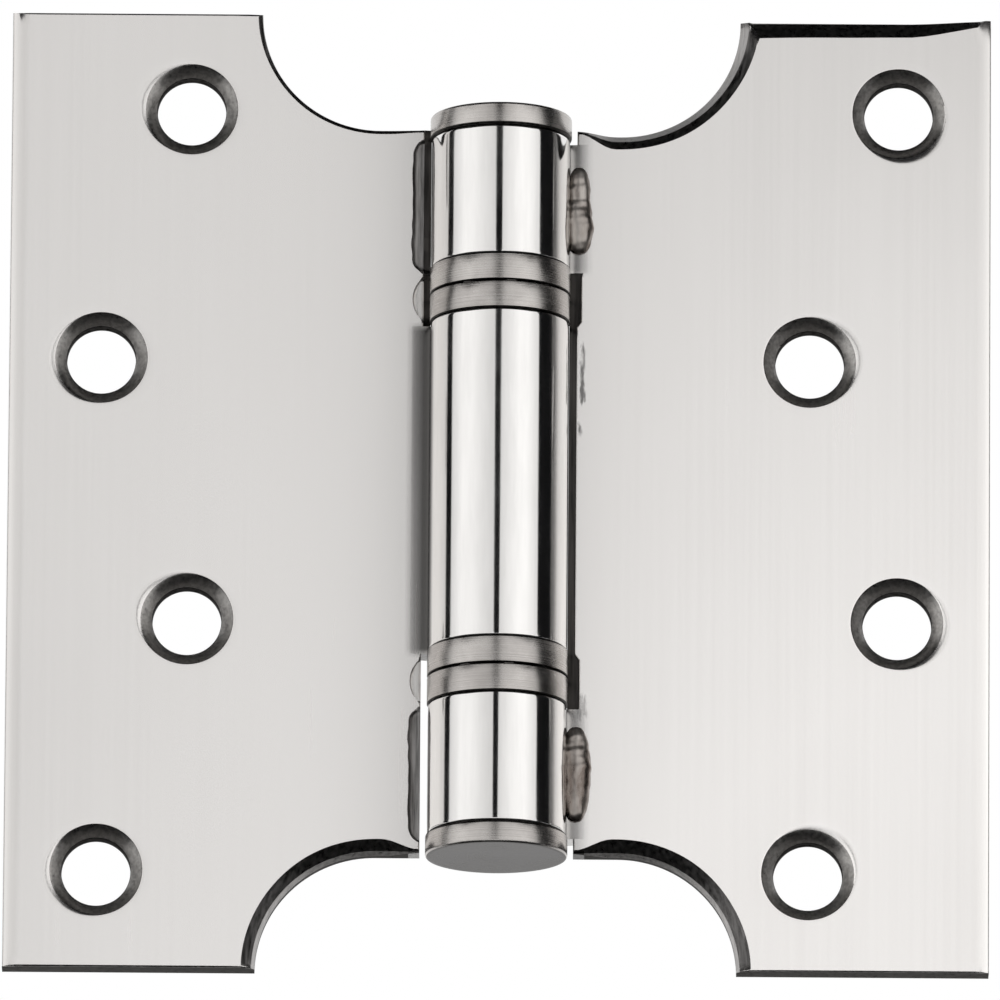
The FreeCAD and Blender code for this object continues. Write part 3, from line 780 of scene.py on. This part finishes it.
# Countersunk screw holes, each rim rolled over most on the side that met the wheel
hole = {
    "bore": 3.575 * mm,
    "sink": 4.8 * mm,
    "rim": 0.1 * mm,  # width of the rolled rim
    "dish": 1.1 * mm,  # width of the faint hollow round it
    "worn": 0.5 * mm,  # how far the worn side of the rim goes outwards,
    "wornDepth": 0.17 * mm,  # down
    "wornInwards": 0.1 * mm,  # and, under it, inwards
    "wornCone": 0.2 * mm,  # part of the cone that is worn with it
    "coneEdge": 0.02 * mm,  # from here inwards the finish is the cutter's
    "boreEdge": 0.03 * mm,  # and from here the bore's
    "backBreak": 0.12 * mm,
    "steps": 96,
}
sinkDepth = hole["sink"] - hole["bore"]
rimRadius = hole["sink"] + hole["rim"]
holeSection = (  # radius and depth, from the face to the back
    (rimRadius + hole["dish"], 0.0),
    (rimRadius + 0.55 * hole["dish"], 0.003 * mm),
    (rimRadius + 0.2 * hole["dish"], 0.013 * mm),
    (rimRadius, 0.022 * mm),
    (hole["sink"] + 0.4 * hole["rim"], 0.035 * mm),
    (hole["sink"], 0.075 * mm),
    (hole["sink"] - 0.15 * mm, 0.2 * mm),
    (hole["bore"] + 0.06 * mm, sinkDepth - 0.04 * mm),
    (hole["bore"], sinkDepth + 0.06 * mm),
    (hole["bore"], sheetThick - hole["backBreak"]),
    (hole["bore"] + hole["backBreak"], sheetThick),
)


def screwHoles(side, turn):
    centres = []
    for mount in frame["record"]["mounts"]:
        if mount["kind"] == "bolt_pattern" and mount["name"].startswith(side):
            half = mount["dims"]["spacing_y_mm"] * mm / 2
            x, z = mount["pos_m"][0], mount["pos_m"][2]
            centres += [(turn * x, turn * (z - half)), (turn * x, turn * (z + half))]
    return sorted(centres, key=lambda centre: -centre[1])


def drillHole(bm, centre, wornSide, layer):
    start = set(bm.faces)
    wire = []
    for radius, depth in holeSection:
        wire.append(bm.verts.new((centre[0] + radius, sheetFront + depth, centre[1])))
    edges = [bm.edges.new(pair) for pair in zip(wire, wire[1:])]
    axis = Vector((centre[0], 0, centre[1]))
    bmesh.ops.spin(bm, geom=wire + edges, cent=axis, axis=(0, 1, 0), angle=2 * math.pi,
                   steps=hole["steps"], use_merge=True)
    faces = set(bm.faces) - start
    for face in faces:
        arm = face.calc_center_median() - axis
        radius = math.hypot(arm.x, arm.z)
        if radius < hole["bore"] + hole["boreEdge"]:
            face.material_index = leafPlace["bore"]
        elif radius < hole["sink"] - hole["coneEdge"]:
            face.material_index = leafPlace["bored"]
        for loop in face.loops:
            arm = loop.vert.co - axis
            loop[layer].uv = (0.0, (math.hypot(arm.x, arm.z) + arm.y) / mm)
    for vert in {vert for face in faces for vert in face.verts}:
        arm = vert.co - axis
        radius = math.hypot(arm.x, arm.z)
        if radius > hole["sink"] - hole["wornCone"]:
            lean = max(0.0, math.cos(math.atan2(arm.z, arm.x) - wornSide)) ** 2
            share = min(1.0, max(0.0, (radius - hole["sink"] + hole["coneEdge"]) / hole["rim"]))
            inside = min(1.0, max(0.0, (rimRadius - radius) / hole["rim"]))
            push = 1 + lean * (hole["worn"] * share - hole["wornInwards"] * inside) / radius
            down = lean * hole["wornDepth"] * inside
            vert.co = axis + Vector((arm.x * push, arm.y + down, arm.z * push))


def fillLevel(bm, level, normal):
    edges = [edge for edge in bm.edges
             if edge.is_boundary and all(abs(vert.co.y - level) < tiny for vert in edge.verts)]
    bmesh.ops.triangle_fill(bm, use_beauty=True, edges=edges, normal=normal)


# Rolls a tongue of the sheet: back through the jog, then round the pin to the seam
def rollTongue(bm, high, low):
    section = [face for face in bm.faces
               if all(abs(vert.co.x - sheet["jogX"]) < 10 * tiny for vert in face.verts)
               and low < face.calc_center_median().z < high]
    for face in section:
        face.material_index = leafPlace["satin"]
    toPin = math.atan2(sheet["jogDepth"], sheet["jogX"])
    jog = bmesh.ops.spin(bm, geom=section, cent=(sheet["jogX"], sheet["jogDepth"], 0), axis=(0, 0, 1),
                         angle=toPin - math.pi / 2, steps=sheet["jogSteps"])
    section = onlyKind(jog["geom_last"], bmesh.types.BMFace)
    jogVerts = set(bm.verts)
    start = set(bm.faces)
    roll = bmesh.ops.spin(bm, geom=section, cent=(0, 0, 0), axis=(0, 0, 1),
                          angle=sheet["rollEnd"] - toPin, steps=sheet["rollSteps"])
    seam = sheetFront - sheet["seamGap"]
    ends = onlyKind(roll["geom_last"], bmesh.types.BMFace)
    for vert in {vert for face in ends for vert in face.verts}:
        radius = math.hypot(vert.co.x, vert.co.y)
        vert.co.x, vert.co.y = math.sqrt(radius ** 2 - seam ** 2), seam
    for vert in set(bm.verts) - jogVerts:
        easeKnuckleEnd(vert, high, low)
    # faces at a knuckle's ends get painted shade
    for face in set(bm.faces) - start:
        z = face.calc_center_median().z
        atEnd = min(high - z, z - low) < knuckleEase["dark"]
        face.material_index = leafPlace["groove" if atEnd else "mirror"]


# Knuckle ends: a rounded edge, and a slight fall-off from the buffing wheel
knuckleEase = {
    "edge": 0.3 * mm,
    "fall": 0.025 * mm,
    "reach": 2.2 * mm,  # of the fall-off, from the end
    "dark": 0.1 * mm,  # width of the painted shade at the joint
    "skin": 0.5 * mm,  # only what is this near the outside is eased
}


def easeKnuckleEnd(vert, high, low):
    radius = math.hypot(vert.co.x, vert.co.y)
    gap = max(0.0, min(high - vert.co.z, vert.co.z - low))
    if radius < barrel["knuckleRadius"] - knuckleEase["skin"] or gap > knuckleEase["reach"]:
        return
    edge = knuckleEase["edge"]
    drop = knuckleEase["fall"] * (1 - gap / knuckleEase["reach"]) ** 2
    if gap < edge:
        drop += edge - math.sqrt(edge ** 2 - (edge - gap) ** 2)
    vert.co.x *= 1 - drop / radius
    vert.co.y *= 1 - drop / radius


# Where the finish of a leaf's edges changes
edgeZone = {
    "outer": 2.0 * mm,  # width of the rolled band along the outer edge, which has no facets
    "wall": 0.12 * mm,  # depth at which the wall beside the barrel begins
    "nose": 0.05 * mm,  # past the free edge
}
wallFacing, facetFacing, bevelFacing = 0.2, 0.6, 0.8  # most that each of them faces the front


def buildLeaf(name, edges, tongues, wornSides, turn):
    right = turn > 0
    walk = leafOutline(edges, tongues, notches=right)
    wearOutline(walk, taper=right)
    if right:
        noseEdge(walk, -barrel["endStart"], barrel["endStart"])
    else:
        hollowEdge(walk)
        noseEdge(walk, -barrel["top"], -barrel["middleEnd"])
    bm = bmesh.new()
    layer = bm.loops.layers.uv.new("turning")
    raiseShell(bm, walk)
    for centre, wornSide in zip(screwHoles(name.split("_")[0], turn), wornSides):
        drillHole(bm, centre, math.radians(wornSide), layer)
    bmesh.ops.remove_doubles(bm, verts=bm.verts, dist=2 * merge)
    fillLevel(bm, sheetFront, (0, -1, 0))
    fillLevel(bm, barrel["back"], (0, 1, 0))
    bmesh.ops.recalc_face_normals(bm, faces=bm.faces)
    for face in bm.faces:
        centre = face.calc_center_median()
        if centre.y > barrel["back"] - tiny:
            continue
        satinFace = face.material_index == leafPlace["satin"]
        inland = satinFace and centre.x < barrel["reach"] - edgeZone["outer"]
        facing = -face.normal.y
        if centre.x < sheet["neckEdge"] + relief["wide"] and centre.y > sheetFront + edgeZone["wall"]:
            inScoop = not right and barrel["middleEnd"] < abs(centre.z) < barrel["endStart"]
            onNose = right or centre.x < sheet["neckEdge"] - edgeZone["nose"]
            # the walls in the slit beside the barrel get painted shade
            key = "groove" if onNose else "scraped" if inScoop else "milled"
            face.material_index = leafPlace[key]
        elif satinFace and abs(facing) < wallFacing:
            face.material_index = leafPlace["sheared"]
        # ground edges get copies of one finish by tilt: the outer facet a lighter one, the inner facet a
        # darker one that is painted shade
        elif inland and wallFacing < facing < facetFacing:
            face.material_index = leafPlace["facet"]
        elif inland and facetFacing < facing < bevelFacing:
            face.material_index = leafPlace["bevel"]
    for high, low in tongues:
        rollTongue(bm, high, low)
    if not right:
        bmesh.ops.rotate(bm, verts=bm.verts, cent=(0, 0, 0), matrix=Matrix.Rotation(math.pi, 3, "Y"))
    finishPiece(bm, name + "_sheet", name, [name],
                [finishes[key] for key in leafFinishes],
                flats=((sheetFront, Vector((0, -1, 0))), (barrel["back"], Vector((0, 1, 0)))))


endKnuckles = [(barrel["capSeat"], barrel["endStart"]), (-barrel["endStart"], -barrel["capSeat"])]
middleKnuckle = [(barrel["middleEnd"], -barrel["middleEnd"])]
rightWorn = (-60, 20, -20, 60)  # worn side of each hole, in degrees, from the top of the blank
leftWorn = (20, -30, 10, -20)
buildLeaf("right_leaf", rightEdges, endKnuckles, rightWorn, 1)
buildLeaf("left_leaf", leftEdges, middleKnuckle, leftWorn, -1)


# Turned pieces: a section of (radius, height) spun about the pin
def turnPiece(name, body, node, section, finishAt, pieceFinishes, steps=160):
    bm = bmesh.new()
    wire = [bm.verts.new((radius, 0, height)) for radius, height in section]
    edges = [bm.edges.new(pair) for pair in zip(wire, wire[1:])]
    bmesh.ops.spin(bm, geom=wire + edges, cent=(0, 0, 0), axis=(0, 0, 1), angle=2 * math.pi,
                   steps=steps, use_merge=True)
    bmesh.ops.remove_doubles(bm, verts=bm.verts, dist=merge)
    for face in bm.faces:
        face.material_index = finishAt(face.calc_center_median())
    finishPiece(bm, name, body, [node], pieceFinishes, sharp=50)


race = {
    "edge": 0.13 * mm,
    "ease": 0.3,  # share of an edge that its middle point is off the corner
    "wall": 0.35 * mm,
    "floor": 1.68 * mm,
    "clearance": 0.15 * mm,  # round the pin
    "skin": 0.02 * mm,  # what lies deeper gets painted shade
}


def buildRace(node, body, seat, way):
    outer, bore = barrel["raceRadius"], barrel["pinRadius"] + race["clearance"]
    tall, edge, inside = barrel["raceHeight"], race["edge"], barrel["raceRadius"] - race["wall"]
    ease = race["ease"] * edge
    section = [
        (bore, 0), (outer - edge, 0), (outer - ease, ease), (outer, edge), (outer, tall / 2),
        (outer, tall - edge), (outer - ease, tall - ease), (outer - edge, tall),
        (inside, tall), (inside, race["floor"]), (bore, race["floor"]), (bore, 0),
    ]
    section = [(radius, seat + way * height) for radius, height in section]

    def finishAt(centre):
        return int(centre.xy.length < outer - race["skin"])

    turnPiece(node + "_ring", body, node, section, finishAt, [finishes["turned"], finishes["groove"]])


buildRace("upper_bearing_upper_race", "right_leaf", barrel["endStart"], -1)
buildRace("upper_bearing_lower_race", "left_leaf", barrel["middleEnd"], 1)
buildRace("lower_bearing_upper_race", "left_leaf", -barrel["middleEnd"], -1)
buildRace("lower_bearing_lower_race", "right_leaf", -barrel["endStart"], 1)


cap = {
    "rim": 0.28 * mm,
    "seatEdge": 0.26 * mm,
    "dish": 0.05 * mm,
    "centre": 0.02 * mm,  # radius of the point that the lathe leaves
    "face": 0.06 * mm,  # how far down the finish of the end goes
}


def buildCap(node, way):
    seat, radius, thick = barrel["capSeat"], barrel["capRadius"], barrel["capTop"] - barrel["capSeat"]
    rim, low = cap["rim"], cap["seatEdge"]
    section = [
        (0, -barrel["spigot"]), (sheet["bore"], -barrel["spigot"]), (sheet["bore"], 0), (radius - low, 0),
        (radius - 0.3 * low, 0.3 * low), (radius, low), (radius, thick / 2), (radius, thick - rim),
        (radius - 0.1 * rim, thick - 0.5 * rim), (radius - 0.45 * rim, thick - 0.12 * rim),
        (radius - rim, thick), (radius - 2 * rim, thick), (0.5 * radius, thick - 0.5 * cap["dish"]),
        (cap["centre"], thick - cap["dish"]), (0, thick - cap["dish"]),
    ]
    section = [(across, way * (seat + height)) for across, height in section]
    face = seat + thick - cap["face"]

    def finishAt(centre):
        if way * centre.z > face:
            return 1
        # the seat edge gets painted shade
        return 2 if way * centre.z < seat + low else 0

    turnPiece(node + "_turned", "right_leaf", node, section, finishAt,
              [finishes["turned"], finishes["capEnd"], finishes["groove"]])


buildCap("top_end_cap", 1)
buildCap("bottom_end_cap", -1)


# Weld beads: puddles that overlap along the seam, rippled where each one froze
bead = {
    "across": 8.15 * mm,  # pin axis to the middle of the bead
    "half": 1.5 * mm,  # half width
    "rise": 1.35 * mm,
    "sunk": 0.3 * mm,  # how far it goes on under the face
    "full": 0.8,  # below 1, a puddle's ends are blunter than an ellipse
    "lump": 0.1,
    "lumpLength": 1.1 * mm,
    "swirl": 0.5 * mm,  # how far a ripple curves along the bead,
    "swirlTurn": 0.4,  # and where round it, in radians
    "pole": 0.9999,  # sine of the latitude from which the bead is a point
    "segments": 48,
    "rings": 72,
    "ripple": 0.012 * mm,
    "pitch": 0.85 * mm,
    "blend": 3.5,  # how sharply one puddle meets the next
}
puddles = {  # height along the pin, half length and size of each puddle
    "top_knuckle_weld": ((31.9, 2.8, 0.78), (28.2, 2.9, 1.0)),
    "bottom_knuckle_weld": ((-28.4, 3.2, 0.93), (-31.4, 4.0, 1.0)),
}


def beadSize(z, group):
    total = 0.0
    for middle, half, scale in group:
        away = (z - middle * mm) / (half * mm)
        if abs(away) < 1:
            total += (scale * math.sqrt(1 - away * away) ** bead["full"]) ** bead["blend"]
    return total ** (1 / bead["blend"])


def buildWeld(node):
    group = puddles[node]
    low = min(middle - half for middle, half, _ in group) * mm
    high = max(middle + half for middle, half, _ in group) * mm
    bm = bmesh.new()
    bmesh.ops.create_uvsphere(bm, u_segments=bead["segments"], v_segments=bead["rings"], radius=1.0)
    for vert in bm.verts:
        z = low + (high - low) * (0.5 + math.asin(max(-1, min(1, vert.co.z))) / math.pi)
        angle = math.atan2(vert.co.y, vert.co.x)
        size = beadSize(z, group) if abs(vert.co.z) < bead["pole"] else 0.0
        swirl = z + bead["swirl"] * abs(math.sin(angle / 2 + bead["swirlTurn"]))
        ripple = bead["ripple"] * math.sin(math.tau * swirl / bead["pitch"]) * size
        grain = Vector((math.cos(angle), math.sin(angle), z / bead["lumpLength"]))
        lump = 1 + bead["lump"] * noise.noise(grain)
        across = bead["half"] * size * lump + ripple
        down = bead["rise"] * size * lump + ripple
        vert.co = (bead["across"] + across * math.cos(angle), sheetFront + down * math.sin(angle), z)
    bmesh.ops.remove_doubles(bm, verts=bm.verts, dist=merge)
    below = sheetFront + bead["sunk"]
    cut = bmesh.ops.bisect_plane(bm, geom=bm.verts[:] + bm.edges[:] + bm.faces[:], plane_co=(0, below, 0),
                                 plane_no=(0, 1, 0), clear_outer=True)
    rim = onlyKind(cut["geom_cut"], bmesh.types.BMEdge)
    bmesh.ops.holes_fill(bm, edges=rim, sides=0)
    finishPiece(bm, node + "_bead", "right_leaf", [node], [finishes["weld"]], sharp=60)


buildWeld("top_knuckle_weld")
buildWeld("bottom_knuckle_weld")


# Pieces that stay as packed: the pin and the balls inside the barrel
for node in ("hinge_pin", "upper_bearing_balls", "lower_bearing_balls"):
    mesh = frame["nodes"][node].data
    mesh.materials.clear()
    mesh.materials.append(finishes["ground"])
print("inner pieces:", "pin and balls dressed")


# Studio: a white room, two soft boxes in front and dark flags between and around them
softWhite = (1.0, 0.995, 0.985)
black = (0.012, 0.012, 0.013)
paintRoughness = 0.9


# A card that faces the middle of the part
def stageCard(name, centre, size, colour, glow, fade=None):
    bm = bmesh.new()
    bmesh.ops.create_grid(bm, x_segments=1, y_segments=1, size=0.5)
    bmesh.ops.scale(bm, vec=(size[0], size[1], 1), verts=bm.verts)
    place = Vector(centre)
    turn = (-place).to_track_quat("Z", "Y").to_matrix().to_4x4()
    bmesh.ops.transform(bm, matrix=Matrix.Translation(place) @ turn, verts=bm.verts)
    mesh = bpy.data.meshes.new(name)
    bm.to_mesh(mesh)
    bm.free()
    card = placeObject(name, mesh)
    paint = bpy.data.materials.new(name + "Paint")
    paint.use_nodes = True
    shader = paint.node_tree.nodes["Principled BSDF"]
    look = {"Base Color": (*colour, 1.0), "Roughness": paintRoughness, "Specular IOR Level": 0.0,
            "Emission Color": (*softWhite, 1.0), "Emission Strength": glow}
    for key, value in look.items():
        shader.inputs[key].default_value = value
    if fade:
        fadeGlow(paint.node_tree, shader, glow, *fade)
    mesh.materials.append(paint)
    return card


# Lets a soft box fall off towards the slot and towards its outer edge, by the angle round the pin
def fadeGlow(tree, shader, glow, inner, outer):
    x, y, _ = placeAxes(tree)
    angle = addMath(tree, "ARCTAN2", x, addMath(tree, "MULTIPLY", y, -1.0))
    away = addMath(tree, "ABSOLUTE", angle)
    innerStart, innerEnd = math.radians(inner[0]), math.radians(inner[1])
    outerStart, outerEnd = math.radians(outer[0]), math.radians(outer[1])
    near = rangeOf(tree, away, inner[2] * glow, glow, innerStart, innerEnd)
    far = rangeOf(tree, away, 1.0, outer[2], outerStart, outerEnd)
    tree.links.new(addMath(tree, "MULTIPLY", near, far), shader.inputs["Emission Strength"])


def aroundPin(azimuth, elevation, distance):
    turn, rise = math.radians(azimuth), math.radians(elevation)
    level = math.cos(rise) * distance
    return Vector((math.sin(turn) * level, -math.cos(turn) * level, math.sin(rise) * distance))


cards = {  # azimuth, elevation, distance, size, glow
    "leftBox": (-45.8, 14, 1.0, (1.6, 1.3), 1.08),
    "rightBox": (36.9, 14, 1.0, (1.36, 1.3), 1.16),
    "slotFlag": (-2.2, 12, 0.062, (0.0095, 0.13), 0.0),
    "leftFlag": (-91.5, 14, 0.7, (0.147, 1.2), 0.0),
    "rightFlag": (86, 14, 0.7, (0.42, 1.2), 0.0),
    "topFlag": (0, 85, 0.5, (1.5, 1.0), 0.0),
    "underFlag": (0, -80, 0.42, (1.5, 0.8), 0.0),
}
boxFades = {  # angles from and to, and the share that is left, inside and outside
    "leftBox": ((12, 46, 0.72), (64, 84, 0.74)),
    "rightBox": ((4, 34, 0.72), (48, 70, 0.72)),
}
for name, (azimuth, elevation, distance, size, glow) in cards.items():
    place = aroundPin(azimuth, elevation, distance)
    card = stageCard(name, place, size, black, glow, boxFades.get(name))
    card.visible_camera = False
floor = {"place": (0, 0, -1.1), "size": (8, 8), "colour": (0.86, 0.86, 0.855)}
stageCard("floor", floor["place"], floor["size"], floor["colour"], 0.0)

world = bpy.data.worlds.new("whiteRoom")
bpy.context.scene.world = world
world.use_nodes = True
world.node_tree.nodes["Background"].inputs["Color"].default_value = (1, 1, 1, 1)
world.node_tree.nodes["Background"].inputs["Strength"].default_value = 1.0
print("studio:", len(cards), "cards and a floor")


# Camera: far off, square on to the leaves and a little from below, as in the photograph
shot = {
    "distance": 2.6,
    "below": 14.0,  # degrees
    "roll": 0.41,
    "frameWidth": 103.74 * mm,  # width of what is seen at the pin
    "aim": (0.14 * mm, 0.0, -1.37 * mm),
}
lens = bpy.data.cameras.new("camera")
lens.lens = lens.sensor_width * shot["distance"] / shot["frameWidth"]
lens.clip_start, lens.clip_end = 0.05, 20
camera = placeObject("camera", lens)
backwards = aroundPin(0, -shot["below"], 1.0)
upright = (-backwards).to_track_quat("-Z", "Y").to_matrix()
camera.rotation_euler = (upright @ Matrix.Rotation(math.radians(shot["roll"]), 3, "Z")).to_euler()
camera.location = Vector(shot["aim"]) + backwards * shot["distance"]
bpy.context.scene.camera = camera
bpy.context.scene.view_settings.view_transform = "Standard"
